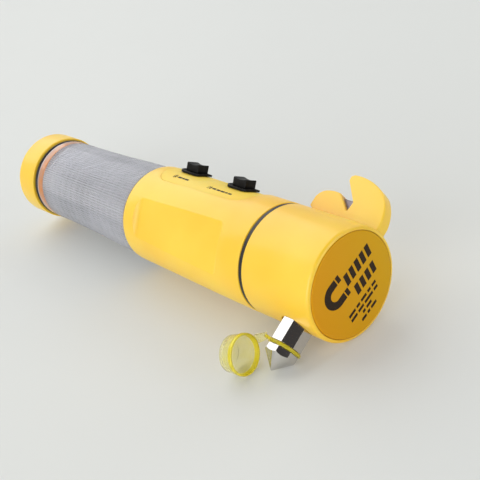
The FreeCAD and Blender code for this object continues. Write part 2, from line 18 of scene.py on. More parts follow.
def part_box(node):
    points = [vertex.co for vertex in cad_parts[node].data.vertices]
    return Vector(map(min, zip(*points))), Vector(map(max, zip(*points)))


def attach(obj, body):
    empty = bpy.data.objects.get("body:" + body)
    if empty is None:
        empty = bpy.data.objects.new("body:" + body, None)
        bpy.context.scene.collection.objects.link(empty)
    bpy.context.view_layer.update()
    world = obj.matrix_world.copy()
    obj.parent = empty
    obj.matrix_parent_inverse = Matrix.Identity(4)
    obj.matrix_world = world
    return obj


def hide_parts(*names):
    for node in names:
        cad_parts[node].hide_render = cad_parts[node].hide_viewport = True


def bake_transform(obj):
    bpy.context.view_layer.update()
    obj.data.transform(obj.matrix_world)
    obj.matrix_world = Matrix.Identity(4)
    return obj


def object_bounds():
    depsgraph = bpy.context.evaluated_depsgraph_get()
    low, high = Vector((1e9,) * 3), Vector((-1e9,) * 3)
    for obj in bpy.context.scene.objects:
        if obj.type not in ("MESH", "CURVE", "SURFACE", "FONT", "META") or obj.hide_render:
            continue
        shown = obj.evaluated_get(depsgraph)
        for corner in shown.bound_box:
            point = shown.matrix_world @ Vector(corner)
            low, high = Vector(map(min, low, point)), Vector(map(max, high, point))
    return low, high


bl_info = {
    "name": "LED safety flare",
    "version": (1, 0, 0),
    "blender": (4, 5, 0),
    "location": "View3D > Sidebar > Flare",
    "description": "Builds the visible pieces of an LED safety flare on its packed frame",
    "category": "Object",
}

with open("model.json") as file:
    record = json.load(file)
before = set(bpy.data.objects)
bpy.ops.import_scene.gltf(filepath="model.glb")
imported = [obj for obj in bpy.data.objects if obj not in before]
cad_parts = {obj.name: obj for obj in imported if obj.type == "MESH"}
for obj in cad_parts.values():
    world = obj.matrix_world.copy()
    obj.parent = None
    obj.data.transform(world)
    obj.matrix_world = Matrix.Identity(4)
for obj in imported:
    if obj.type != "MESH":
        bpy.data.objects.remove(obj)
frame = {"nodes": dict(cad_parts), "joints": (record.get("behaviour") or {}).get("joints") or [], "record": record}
CAD_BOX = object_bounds()
MM = 0.001
POLE = 0.06  # the radius, in millimetres, of the small face that closes a turned end
JOINTS = {joint["name"]: joint for joint in frame["joints"]}
HEAD_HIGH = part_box("head_bezel")[1]
HAMMER_ALONG = 14 * MM  # where the hammer's axis crosses the torch's
SWITCH_PLACES = (73.4, 105.9)  # the middle of each switch's travel, in millimetres from the tail
SWITCH_REST = -2.0  # where a switch rests, from the middle of its travel


def length(name, text, default):
    return FloatProperty(name=name, description=text, default=default, unit="LENGTH",
                         precision=5)


def angle(name, text, degrees):
    return FloatProperty(name=name, description=text, default=math.radians(degrees),
                         subtype="ANGLE")


def colour(name, text, *rgb):
    return FloatVectorProperty(name=name, description=text, default=rgb, size=3, min=0, max=1,
                               subtype="COLOR")


class FlareSizes(bpy.types.PropertyGroup):
    sides: IntProperty(name="Sides", description="Sides of a turned piece", default=128, min=24)
    switch_turn: angle("Switch angle", "Turn of the switches about the torch, from straight up", 31)
    tail_turn: angle("Tail angle", "Turn of the tail cap's fin about the torch", 60.7)
    edge: length("Edge", "Rounding of the moulded edges", 0.5 * MM)
    prism: length("Prism", "Width of one prism of the beacon's lens", 1.05 * MM)
    prism_height: length("Prism height", "Height of one prism", 0.3 * MM)
    hammer_flats: length("Hammer flats", "Width of the hammer's bar across its flats", 13 * MM)


class FlareColours(bpy.types.PropertyGroup):
    shell: colour("Shell", "Yellow moulded shell", 0.95, 0.63, 0.045)
    shell_deep: colour("Shell, deep", "The shell's warmer tone", 0.94, 0.55, 0.020)
    panel: colour("Panel", "Switch panel", 0.88, 0.65, 0.10)
    disc: colour("Disc", "Amber cover of the magnet", 0.64, 0.35, 0.0)
    # The cover's painted shade: the colour of its deeper side.
    disc_painted_shade: colour("Disc, deep", "The cover's warmer tone", 0.70, 0.31, 0.0)
    ink: colour("Ink", "Printed marks", 0.022, 0.010, 0.003)
    black: colour("Black", "Switch knobs", 0.006, 0.005, 0.004)
    lens: colour("Lens", "Clear prismatic tube", 0.759, 0.77, 0.822)
    # The amber ring's colour, also painted onto the lens collar where the ring is seen through it.
    glow: colour("Collar", "Amber ring inside the lens", 0.85, 0.30, 0.06)
    floor: colour("Floor", "Pale floor", 0.50, 0.52, 0.51)


def sizes():
    return bpy.context.scene.flare_sizes


def colours():
    return bpy.context.scene.flare_colours


# ------------------------------------------------------------------------- modelling by hand

def only(piece):
    """Select one object and nothing else."""
    bpy.ops.object.select_all(action="DESELECT")
    piece.select_set(True)
    bpy.context.view_layer.objects.active = piece


def added(primitive, name, **settings):
    """A new primitive with nothing else selected."""
    bpy.ops.object.select_all(action="DESELECT")
    primitive(**settings)
    piece = bpy.context.object
    piece.name = piece.data.name = name
    settle(piece)
    return piece


def settle(piece, matrix=None):
    """Put the piece's place into its mesh."""
    only(piece)
    if matrix is not None:
        piece.matrix_world = matrix @ piece.matrix_world
    bpy.ops.object.transform_apply(location=True, rotation=True, scale=True)


@contextmanager
def editing(piece, mode="EDGE"):
    """Edit mode on one piece, with nothing of it selected."""
    only(piece)
    bpy.ops.object.mode_set(mode="EDIT")
    bpy.ops.mesh.select_mode(type=mode)
    bpy.ops.mesh.select_all(action="DESELECT")
    yield
    bpy.ops.object.mode_set(mode="OBJECT")


def choose(piece, kind, wanted):
    """In edit mode, select the verts, edges or faces that wanted() accepts."""
    mesh = bmesh.from_edit_mesh(piece.data)
    for element in getattr(mesh, kind):
        element.select_set(False)
    for element in getattr(mesh, kind):
        if wanted(element):
            element.select_set(True)
    bmesh.update_edit_mesh(piece.data)


def middle(edge):
    """The point halfway along an edge."""
    return (edge.verts[0].co + edge.verts[1].co) / 2


def spread(point):
    """A point's distance from the torch's axis."""
    return math.hypot(point.x, point.z)


def apply(piece, kind, **settings):
    """Add a modifier and apply it."""
    only(piece)
    modifier = piece.modifiers.new(kind.title(), kind)
    for name, value in settings.items():
        setattr(modifier, name, value)
    bpy.ops.object.modifier_apply(modifier=modifier.name)


def combine(piece, tool, operation="DIFFERENCE"):
    """A boolean that uses its tool up."""
    apply(piece, "BOOLEAN", object=tool, operation=operation, solver="EXACT")
    bpy.data.objects.remove(tool)


def soften(piece, width, degrees=40, segments=3):
    """Bevel every edge sharper than the given angle."""
    apply(piece, "BEVEL", width=width, segments=segments, limit_method="ANGLE",
          angle_limit=math.radians(degrees), miter_outer="MITER_ARC", use_clamp_overlap=True)


def smooth(piece, degrees=32):
    """Shade a piece smooth, but for edges sharper than the given angle."""
    only(piece)
    bpy.ops.object.shade_smooth_by_angle(angle=math.radians(degrees))


def close_up(piece):
    """Merge doubles, fill what is open and turn all faces outwards."""
    with editing(piece, "VERT"):
        bpy.ops.mesh.select_all(action="SELECT")
        bpy.ops.mesh.remove_doubles(threshold=1e-6)
        bpy.ops.mesh.fill_holes(sides=0)
        bpy.ops.mesh.select_all(action="SELECT")
        bpy.ops.mesh.normals_make_consistent(inside=False)


def turned(name, profile, sides=None, rounds=()):
    """A piece turned about the Y axis: a ring at the first (radius, along) of the profile in
    millimetres, extruded and resized to each next one. Each of rounds is (radius, along, rounding)
    and rolls the edge there."""
    radius, along = (value * MM for value in profile[0])
    piece = added(bpy.ops.mesh.primitive_circle_add, name, vertices=sides or sizes().sides,
                  radius=radius, location=(0, along, 0), rotation=(math.radians(90), 0, 0))
    with editing(piece):
        bpy.ops.mesh.select_all(action="SELECT")
        for next_radius, next_along in profile[1:]:
            next_radius, next_along = next_radius * MM, next_along * MM
            bpy.ops.mesh.extrude_region_move(
                TRANSFORM_OT_translate={"value": (0, next_along - along, 0)})
            grow = next_radius / radius
            if abs(grow - 1) > 1e-9:
                bpy.ops.transform.resize(value=(grow, 1, grow),
                                         center_override=(0, next_along, 0))
            radius, along = next_radius, next_along
    close_up(piece)
    for radius, along, rounding in rounds:
        with editing(piece):
            choose(piece, "edges", lambda edge: all(
                abs(spread(v.co) - radius * MM) < 2e-5 and abs(v.co.y - along * MM) < 2e-5
                for v in edge.verts))
            bpy.ops.mesh.bevel(offset=rounding * MM, segments=6, affect="EDGES")
    return piece


def tube(name, inner, outer, low, high, sides=None):
    """A turned tube from one place along Y to another."""
    return turned(name, [(inner, low), (outer, low), (outer, high), (inner, high), (inner, low)],
                  sides)


def rod(name, radius, low, high, sides):
    """A turned rod from one place along Y to another."""
    return turned(name, [(POLE, low), (radius, low), (radius, high), (POLE, high)], sides)


def swell(start, finish, radius, steps=8):
    """The points of an arc that swells to the right of the way from start to finish, less its
    start."""
    a, b = Vector(start), Vector(finish)
    chord = b - a
    side = Vector((chord.y, -chord.x)).normalized()
    reach = math.sqrt(radius ** 2 - (chord.length / 2) ** 2)
    centre = (a + b) / 2 - side * reach
    turn = 2 * math.asin(chord.length / 2 / radius)
    arm = a - centre
    points = []
    for step in range(1, steps + 1):
        part = turn * step / steps
        points.append((centre.x + arm.x * math.cos(part) - arm.y * math.sin(part),
                       centre.y + arm.x * math.sin(part) + arm.y * math.cos(part)))
    return points


def plate(name, points, thick):
    """A flat plate across X: its outline of (along, up) points in millimetres is drawn point by
    point, filled and extruded."""
    piece = added(bpy.ops.mesh.primitive_plane_add, name, size=MM,
                  location=(-thick * MM / 2, 0, 0))
    with editing(piece, "VERT"):
        bpy.ops.mesh.select_all(action="SELECT")
        bpy.ops.mesh.merge(type="CENTER")
        bpy.ops.transform.translate(value=(0, points[0][0] * MM, points[0][1] * MM))
        for before, after in zip(points, points[1:]):
            bpy.ops.mesh.extrude_region_move(TRANSFORM_OT_translate={
                "value": (0, (after[0] - before[0]) * MM, (after[1] - before[1]) * MM)})
        bpy.ops.mesh.select_all(action="SELECT")
        bpy.ops.mesh.edge_face_add()
        bpy.ops.mesh.extrude_region_move(TRANSFORM_OT_translate={"value": (thick * MM, 0, 0)})
        bpy.ops.mesh.select_all(action="SELECT")
        bpy.ops.mesh.normals_make_consistent(inside=False)
    return piece


def brick(name, low, high, rounding=0.0, upright=False):
    """A block between two corners in millimetres, with its edges, or only its upright ones,
    rolled."""
    low, high = (Vector(pick(pair) * MM for pair in zip(low, high)) for pick in (min, max))
    piece = added(bpy.ops.mesh.primitive_cube_add, name, size=1, location=(low + high) / 2,
                  scale=high - low)
    if rounding:
        with editing(piece):
            choose(piece, "edges", lambda edge: not upright or
                   abs(edge.verts[0].co.z - edge.verts[1].co.z) > 1e-5)
            bpy.ops.mesh.bevel(offset=rounding * MM, segments=6, affect="EDGES")
    return piece


def about_torch(turn):
    """A turn about the torch's own axis."""
    return Matrix.Rotation(turn, 4, "Y")


def hammer_frame():
    """From the torch's axis to the hammer's, which leaves the cap opposite the fin."""
    return (Matrix.Translation((0, HAMMER_ALONG, 0)) @ about_torch(sizes().tail_turn - math.pi)
            @ Matrix.Rotation(math.radians(90), 4, "X"))


def guard_turn():
    """From the guard cap's place on the hammer to the open one."""
    joint = JOINTS["guard_cap_fold"]
    fold = Matrix.Translation(Vector(joint["pos_m"]))
    swing = Matrix.Rotation(-math.radians(joint["range_deg"][1]), 4, Vector(joint["axis"]))
    return fold @ swing @ fold.inverted()


def finish(piece, material, slot, body, *nodes):
    """Give a piece its material and its body, and hide the nodes that it stands for. The slot is not used."""
    piece.data.materials.clear()
    piece.data.materials.append(material)
    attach(piece, body)
    if nodes:
        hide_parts(*nodes)
    return piece


def joined(name, pieces):
    """The pieces made one, with a new name."""
    bpy.ops.object.select_all(action="DESELECT")
    for piece in pieces:
        piece.select_set(True)
    bpy.context.view_layer.objects.active = pieces[0]
    bpy.ops.object.join()
    pieces[0].name = pieces[0].data.name = name
    return pieces[0]


def copied(piece, matrix):
    """A copy with a mesh of its own, moved."""
    twin = bpy.data.objects.new(piece.name, piece.data.copy())
    bpy.context.scene.collection.objects.link(twin)
    settle(twin, matrix)
    return twin


# ------------------------------------------------------------------------- materials

class Wire:
    """An output socket on which sums are written as plain expressions."""

    def __init__(self, paint, socket):
        self.paint, self.socket = paint, socket

    def sum(self, operation, first, second):
        return self.paint.node("ShaderNodeMath", {"operation": operation}, {0: first, 1: second})

    def __add__(self, other):
        return self.sum("ADD", self, other)

    def __mul__(self, other):
        return self.sum("MULTIPLY", self, other)

    __radd__, __rmul__ = __add__, __mul__


class Nodes:
    """A node tree that is built one call at a time."""

    def __init__(self, tree):
        self.tree = tree

    def plug(self, socket, value):
        """Link a wire to a socket, or set the socket to a constant."""
        if isinstance(value, Wire):
            self.tree.links.new(value.socket, socket)
        elif hasattr(value, "__len__") and len(value) == 3 and socket.type == "RGBA":
            socket.default_value = (*value, 1)
        else:
            socket.default_value = value

    def node(self, kind, settings=None, inputs=None, output=0):
        """A new node with its settings and inputs, as the wire from one of its outputs."""
        made = self.tree.nodes.new(kind)
        for name, value in (settings or {}).items():
            setattr(made, name, value)
        for name, value in (inputs or {}).items():
            self.plug(made.inputs[name], value)
        return Wire(self, made.outputs[output])

    def place(self):
        return self.node("ShaderNodeTexCoord", output="Object")

    def noise(self, scale, detail=3.0, stretch=(1, 1, 1)):
        """Clouds from 0 to 1, finer as the scale grows and drawn out where the stretch is small."""
        at = self.node("ShaderNodeMapping", {}, {"Vector": self.place(), "Scale": stretch})
        return self.node("ShaderNodeTexNoise", {}, {
            "Vector": at, "Scale": scale, "Detail": detail})

    def mix(self, share, first, second):
        """A colour that goes from the first to the second as the share goes from 0 to 1."""
        return self.node("ShaderNodeMix", {"data_type": "RGBA"},
                         {0: share, 6: first, 7: second}, 2)

    def span(self, value, low, high, to_low=0.0, to_high=1.0):
        """The value's range from low to high stretched to another range, and held to it."""
        return self.node("ShaderNodeMapRange", {}, {
            "Value": value, "From Min": low, "From Max": high,
            "To Min": to_low, "To Max": to_high})

    def function(self, kind, *values):
        """One of the math node's functions."""
        return self.node("ShaderNodeMath", {"operation": kind}, dict(enumerate(values)))

    def along(self, axis, way="Object"):
        """The place along one axis, in the frame's metres or as a part of the world's sky."""
        place = self.node("ShaderNodeTexCoord", output=way)
        return self.node("ShaderNodeSeparateXYZ", {}, {0: place}, axis)


class Paint(Nodes):
    """One material and the nodes that feed its shader."""

    def __init__(self, name, **constants):
        self.material = bpy.data.materials.new(name)
        self.material.use_nodes = True
        super().__init__(self.material.node_tree)
        self.shader = self.tree.nodes["Principled BSDF"]
        for socket, value in constants.items():
            self.plug(self.shader.inputs[socket.replace("_", " ")], value)

    def colour(self, value):
        self.plug(self.shader.inputs["Base Color"], value)

    def roughness(self, value):
        self.plug(self.shader.inputs["Roughness"], value)

    def bump(self, height, distance, strength=1.0):
        self.plug(self.shader.inputs["Normal"], self.node("ShaderNodeBump", {}, {
            "Height": height, "Distance": distance, "Strength": strength}))


def moulded_shell():
    """Soft-gloss moulded plastic: warmer in slow clouds, with a fine spark-eroded grain."""
    tone = colours()
    paint = Paint("moulded_shell", Subsurface_Weight=0.12, Subsurface_Radius=(0.9, 0.45, 0.05),
                  Subsurface_Scale=3 * MM, Coat_Weight=0.25, Coat_Roughness=0.22)
    clouds = paint.span(paint.noise(26, 2), 0.35, 0.7)
    paint.colour(paint.mix(clouds, tone.shell, tone.shell_deep))
    paint.roughness(0.36 + 0.12 * paint.noise(140, 4))
    paint.bump(paint.noise(2600, 2), 0.02 * MM, 0.5)
    return paint.material


def panel_plastic():
    """The switch panel's paler and duller moulding."""
    tone = colours()
    paint = Paint("panel_matt", Subsurface_Weight=0.1, Subsurface_Radius=(0.9, 0.5, 0.1),
                  Subsurface_Scale=2 * MM)
    clouds = paint.span(paint.noise(60, 3), 0.3, 0.7)
    paint.colour(paint.mix(clouds, tone.panel, tone.shell))
    paint.roughness(0.46 + 0.1 * paint.noise(300, 3))
    paint.bump(paint.noise(3400, 2), 0.02 * MM, 0.5)
    return paint.material


def amber_cover():
    """Satin amber plastic, painted deeper towards one side as painted shade, with a little random variation."""
    tone = colours()
    paint = Paint("amber_cover", Specular_IOR_Level=0.15, Coat_Weight=0.08, Coat_Roughness=0.15)
    # Painted shade: the cover is painted deeper towards low X, with a little random variation.
    painted_shade_side = paint.span(paint.along(0) + 0.006 * paint.noise(40, 3), -0.018, 0.022)
    paint.colour(paint.mix(painted_shade_side, tone.disc_painted_shade, tone.disc))
    paint.roughness(0.3 + 0.14 * paint.noise(220, 4))
    paint.bump(paint.noise(900, 3), 0.015 * MM, 0.4)
    return paint.material


def printed_ink():
    """Dark print, paler in specks where it is worn."""
    paint = Paint("printed_ink", Specular_IOR_Level=0.2)
    tone = colours()
    worn = paint.span(paint.noise(1400, 4), 0.52, 0.8, 0, 0.5)
    paint.colour(paint.mix(worn, tone.ink, (0.10, 0.055, 0.01)))
    paint.roughness(0.42 + 0.2 * paint.noise(800, 2))
    paint.bump(paint.noise(2200, 2), 0.01 * MM, 0.4)
    return paint.material


def black_plastic():
    """Satin black with a fine grain, shinier in patches."""
    paint = Paint("black_satin", Specular_IOR_Level=0.12)
    tone = colours()
    clouds = paint.span(paint.noise(500, 3), 0.4, 0.8)
    paint.colour(paint.mix(clouds, tone.black, (0.014, 0.013, 0.012)))
    paint.roughness(0.3 + 0.22 * paint.noise(260, 3))
    paint.bump(paint.noise(3000, 2), 0.03 * MM, 0.6)
    return paint.material


def clear_prisms():
    """Clear acrylic with pale streaks, and painted shade: a fine grid of dark specks standing in for the dark that
    the prisms refract, stronger in random patches.
    """
    paint = Paint("clear_prisms", IOR=1.46, Transmission_Weight=0.6, Specular_IOR_Level=0.5)
    tone = colours()
    streaks = paint.span(paint.noise(30, 4, (1, 2.5, 1)), 0.35, 0.68)
    base = paint.mix(streaks, tone.lens, tuple(0.88 * value for value in tone.lens))
    turns_phase, metres_phase = 49.0, 2400.0  # radians of the sine to a radian and to a metre
    around = paint.function("ARCTAN2", paint.along(0), paint.along(2))
    rows = paint.function("SINE", around * turns_phase)
    rings = paint.function("SINE", paint.along(1) * metres_phase)
    # Painted shade: dark specks where both sines peak, standing in for the dark that the prisms refract.
    painted_prism_shade = paint.span(rows * rows * rings * rings, 0.25, 0.85)
    patches = paint.span(paint.noise(22, 2), 0.42, 0.66, 0.3, 0.95)
    paint.colour(paint.mix(painted_prism_shade * patches, base, tuple(0.16 * value for value in tone.lens)))
    paint.roughness(0.10 + 0.10 * paint.noise(120, 3))
    return paint.material


def lens_collar():
    """The lens's smooth end, with the amber ring seen through it painted on as a band between two paler edges."""
    paint = Paint("lens_collar", IOR=1.46, Transmission_Weight=0.35, Coat_Weight=0.4)
    tone = colours()
    along = paint.along(1)
    starts, stops = paint.span(along, 0.1986, 0.1992), paint.span(along, 0.2031, 0.2026)
    # Painted see-through: an amber band painted where the ring behind the clear collar would show.
    amber = paint.mix(paint.span(paint.noise(130, 3), 0.35, 0.7), tone.glow, (0.72, 0.42, 0.28))
    paint.colour(paint.mix(starts * stops, (0.55, 0.50, 0.50), amber))
    paint.roughness(0.12 + 0.12 * paint.noise(200, 2))
    return paint.material


def clear_acrylic():
    """Clear moulded acrylic with a faint haze."""
    paint = Paint("clear_acrylic", IOR=1.46, Transmission_Weight=0.92)
    paint.colour(paint.mix(paint.noise(70, 3), (0.97, 0.96, 0.95), (0.92, 0.91, 0.92)))
    paint.roughness(0.03 + 0.06 * paint.noise(200, 3))
    return paint.material


def amber_ring():
    """The translucent amber of the ring inside the lens."""
    paint = Paint("amber_ring", Transmission_Weight=0.25, IOR=1.46)
    tone = colours()
    clouds = paint.span(paint.noise(160, 3), 0.35, 0.7)
    paint.colour(paint.mix(clouds, tone.glow, (0.80, 0.52, 0.34)))
    paint.roughness(0.25 + 0.15 * paint.noise(240, 2))
    return paint.material


def soft_vinyl(name="soft_vinyl", first=(0.93, 0.83, 0.06), second=(0.90, 0.76, 0.03),
               clear=0.6, index=1.38):
    """Translucent yellow vinyl with faint flow marks."""
    paint = Paint(name, IOR=index, Transmission_Weight=clear, Specular_IOR_Level=0.5)
    paint.colour(paint.mix(paint.span(paint.noise(260, 4), 0.3, 0.75), first, second))
    paint.roughness(0.16 + 0.14 * paint.noise(420, 3))
    paint.bump(paint.noise(700, 3), 0.03 * MM, 0.5)
    return paint.material


def thin_vinyl():
    """The same vinyl in a thin wall, where little of its colour is left."""
    return soft_vinyl("thin_vinyl", (0.97, 0.95, 0.66), (0.97, 0.93, 0.48), 0.88, 1.12)


def steel(name, shade, rough, grain, brush):
    """Bare metal: a brushed grain in its roughness and its bump."""
    paint = Paint(name, Metallic=1.0)
    lines = paint.noise(grain, 3, brush)
    paint.colour(paint.mix(lines, shade, tuple(0.86 * value for value in shade)))
    paint.roughness(rough + 0.12 * lines)
    paint.bump(lines, 0.008 * MM, 0.4)
    return paint.material


def plain(name, first, second, rough, scale=300, bump=0.02, **constants):
    """Two tones in fine clouds, with their own roughness and bump."""
    paint = Paint(name, **constants)
    clouds = paint.noise(scale, 4)
    paint.colour(paint.mix(paint.span(clouds, 0.35, 0.65), first, second))
    paint.roughness(rough + 0.15 * clouds)
    paint.bump(clouds, bump * MM, 0.5)
    return paint.material


def cell_wrap():
    """A dry cell's sleeve: a coppery body with one dark end band."""
    paint = Paint("cell_wrap", Coat_Weight=0.5, Coat_Roughness=0.1)
    band = paint.span(paint.along(1), 0.0665, 0.0668)
    paint.colour(paint.mix(band, (0.03, 0.03, 0.035), (0.75, 0.42, 0.12)))
    paint.roughness(0.28 + 0.1 * paint.noise(200, 3))
    paint.bump(paint.noise(500, 2), 0.01 * MM, 0.3)
    return paint.material


def lamp_epoxy():
    """Square lamps of milky epoxy, red in the beacon's rows and white in the torch's lamp."""
    paint = Paint("lamp_epoxy", Coat_Weight=0.7, Coat_Roughness=0.08)
    fore = paint.span(paint.along(1), 0.188, 0.189)
    red = paint.mix(paint.noise(500, 3), (0.72, 0.07, 0.03), (0.80, 0.16, 0.07))
    paint.colour(paint.mix(fore, red, (0.85, 0.82, 0.55)))
    paint.roughness(0.2 + 0.12 * paint.noise(900, 2))
    return paint.material


MATERIALS = {}


def material(name):
    """Each material is made once, when a piece first asks for it."""
    if name not in MATERIALS:
        MATERIALS[name] = RECIPES[name]()
    return MATERIALS[name]


RECIPES = {
    "yellow_plastic": moulded_shell,
    "panel_plastic": panel_plastic,
    "amber_plastic": amber_cover,
    "ink": printed_ink,
    "black_plastic": black_plastic,
    "prisms": clear_prisms,
    "clear_plastic": clear_acrylic,
    "amber_clear": amber_ring,
    "soft_vinyl": soft_vinyl,
    "thin_vinyl": thin_vinyl,
    "collar": lens_collar,
    "cell_wrap": cell_wrap,
    "lamp_epoxy": lamp_epoxy,
    "white_plastic": lambda: plain("white_plastic", (0.78, 0.78, 0.76), (0.70, 0.70, 0.69), 0.35),
    "rubber": lambda: plain("seal_rubber", (0.006, 0.005, 0.004), (0.014, 0.010, 0.008), 0.36, 700),
    "ferrite": lambda: plain("ferrite", (0.05, 0.05, 0.055), (0.09, 0.09, 0.095), 0.6, 1500, 0.05),
    "circuit_board": lambda: plain("circuit_board", (0.01, 0.13, 0.05), (0.02, 0.19, 0.07), 0.3),
    "polished_steel": lambda: steel("polished_steel", (0.62, 0.60, 0.57), 0.07, 900, (1, 0.15, 1)),
    "plain_steel": lambda: steel("plain_steel", (0.62, 0.60, 0.60), 0.2, 1200, (1, 1, 0.1)),
    "blade_steel": lambda: steel("blade_steel", (0.22, 0.19, 0.21), 0.34, 1200, (1, 1, 0.1)),
    "reflector_metal": lambda: steel("reflector_metal", (0.9, 0.9, 0.9), 0.03, 200, (1, 1, 1)),
}


# ------------------------------------------------------------------------- the pieces

def thread(radius, depth, start, pitch, turns):
    """The profile of a moulded thread: a crest and a root for each turn."""
    points = []
    for turn in range(turns):
        base = start + turn * pitch
        points += [(radius - depth, base), (radius - depth, base + 0.35 * pitch),
                   (radius, base + 0.5 * pitch), (radius, base + 0.8 * pitch)]
    return points


class FLARE_OT_grip(bpy.types.Operator):
    """The yellow grip with its neck, side flats and the recess of the switch panel"""

    bl_idname = "flare.grip"
    bl_label = "Grip"

    def execute(self, context):
        size = context.scene.flare_sizes
        grip = turned("grip_shell", [
            (19.0, 29.0), (20.9, 29.0), *thread(21.5, 0.55, 29.5, 2.5, 3), (21.5, 37.6),
            (21.5, 41.0), (24.0, 41.0), (24.0, 50.0), (23.9, 60.0), (23.65, 75.0), (23.35, 90.0),
            (23.05, 105.0), (22.8, 120.5), (22.6, 124.5), (20.5, 124.5), (20.5, 116.4),
            (19.0, 116.4), (19.0, 29.0)],
            rounds=[(24.0, 41.0, 0.45), (22.6, 124.5, 1.9)])
        for side in (-1, 1):
            flat = side * 21.0
            scoop = brick("scoop", (flat, 54.5, -16), (side * 33.0, 116.5, 16))
            with editing(scoop):
                choose(scoop, "edges", lambda edge: abs(middle(edge).x - flat * MM) < 1e-5
                       and abs(edge.verts[0].co.z - edge.verts[1].co.z) > 1e-3)
                bpy.ops.mesh.bevel(offset=4.2 * MM, segments=8, affect="EDGES")
            combine(grip, scoop)
        recess = brick("recess", (-14.0, 56.0, 10.0), (14.0, 117.0, 40.0), 8.0, upright=True)
        combine(recess, tube("recess_sleeve", 22.55, 27.0, 50.0, 122.0), "INTERSECT")
        combine(grip, recess)
        for along in SWITCH_PLACES:
            combine(grip, window(along))
        soften(grip, size.edge, 18)
        smooth(grip)
        settle(grip, about_torch(size.switch_turn))
        finish(grip, material("yellow_plastic"), "yellow_plastic", "grip", "body_housing")
        return {"FINISHED"}


def window(along):
    """The slot in the panel and the wall that a switch's foot runs in."""
    wide, long = 2.1, 5.1
    return brick("window", (-wide, along - long, 15.0), (wide, along + long, 30.0), 0.8,
                 upright=True)


class FLARE_OT_panel(bpy.types.Operator):
    """The curved switch panel with its two slots and its printed pictograms and bars"""

    bl_idname = "flare.panel"
    bl_label = "Switch panel"

    face, raised = 22.99, 0.1
    marks_turn = math.radians(6.5)
    beacon_dashes = ((103.4, 2.6), (100.9, 1.4), (98.6, 2.4))
    torch_dashes = ((79.2, 2.4), (76.4, 2.2), (73.6, 2.6), (71.2, 1.4), (68.9, 2.2))

    def execute(self, context):
        size = context.scene.flare_sizes
        panel = brick("switch_plate", (-13.8, 56.2, 10.0), (13.8, 116.8, 40.0), 7.8, upright=True)
        combine(panel, turned("panel_sleeve", [(22.58, 50.0), (23.08, 50.0), (23.02, 122.0),
                                               (22.58, 122.0), (22.58, 50.0)]), "INTERSECT")
        for along in SWITCH_PLACES:
            combine(panel, window(along))
        soften(panel, 0.16 * MM, 50, 2)
        smooth(panel)
        settle(panel, about_torch(size.switch_turn))
        finish(panel, material("panel_plastic"), "panel_plastic", "grip", "switch_panel")

        marks = [self.sun(106.6)] + [self.dash(*dash) for dash in self.beacon_dashes]
        marks += [self.beam(82.4)] + [self.dash(*dash) for dash in self.torch_dashes]
        printed = joined("switch_marks", marks)
        settle(printed, about_torch(self.marks_turn))
        finish(printed, material("ink"), "black_plastic", "grip")
        return {"FINISHED"}

    def dash(self, along, long):
        """A plain printed bar, where a word would stand."""
        return self.lifted(brick("dash", (-0.55, along - long / 2, 0),
                                 (0.55, along + long / 2, self.raised), 0.04))

    def sun(self, along):
        """A small lamp with rays round it."""
        rays = [brick("dot", (-0.5, -0.5, 0), (0.5, 0.5, self.raised), 0.2, upright=True)]
        ray = brick("ray", (-0.13, 0.75, 0), (0.13, 1.35, self.raised), 0.03)
        rays += [copied(ray, Matrix.Rotation(math.radians(45 * k), 4, "Z")) for k in range(1, 8)]
        mark = joined("sun", rays + [ray])
        settle(mark, Matrix.Translation((0, along * MM, 0)))
        return self.lifted(mark)

    def beam(self, along):
        """A small torch head with three rays in front."""
        head = brick("head", (-0.9, -1.2, 0), (0.9, -0.3, self.raised), 0.2, upright=True)
        rays = [brick("ray", (across - 0.13, 0.1, 0), (across + 0.13, 1.2, self.raised), 0.03)
                for across in (-0.75, 0, 0.75)]
        mark = joined("beam", [head, *rays])
        settle(mark, Matrix.Translation((0, along * MM, 0)))
        return self.lifted(mark)

    def lifted(self, mark):
        """Lay a mark on the panel's face."""
        settle(mark, Matrix.Translation((0, 0, self.face * MM)))
        return mark


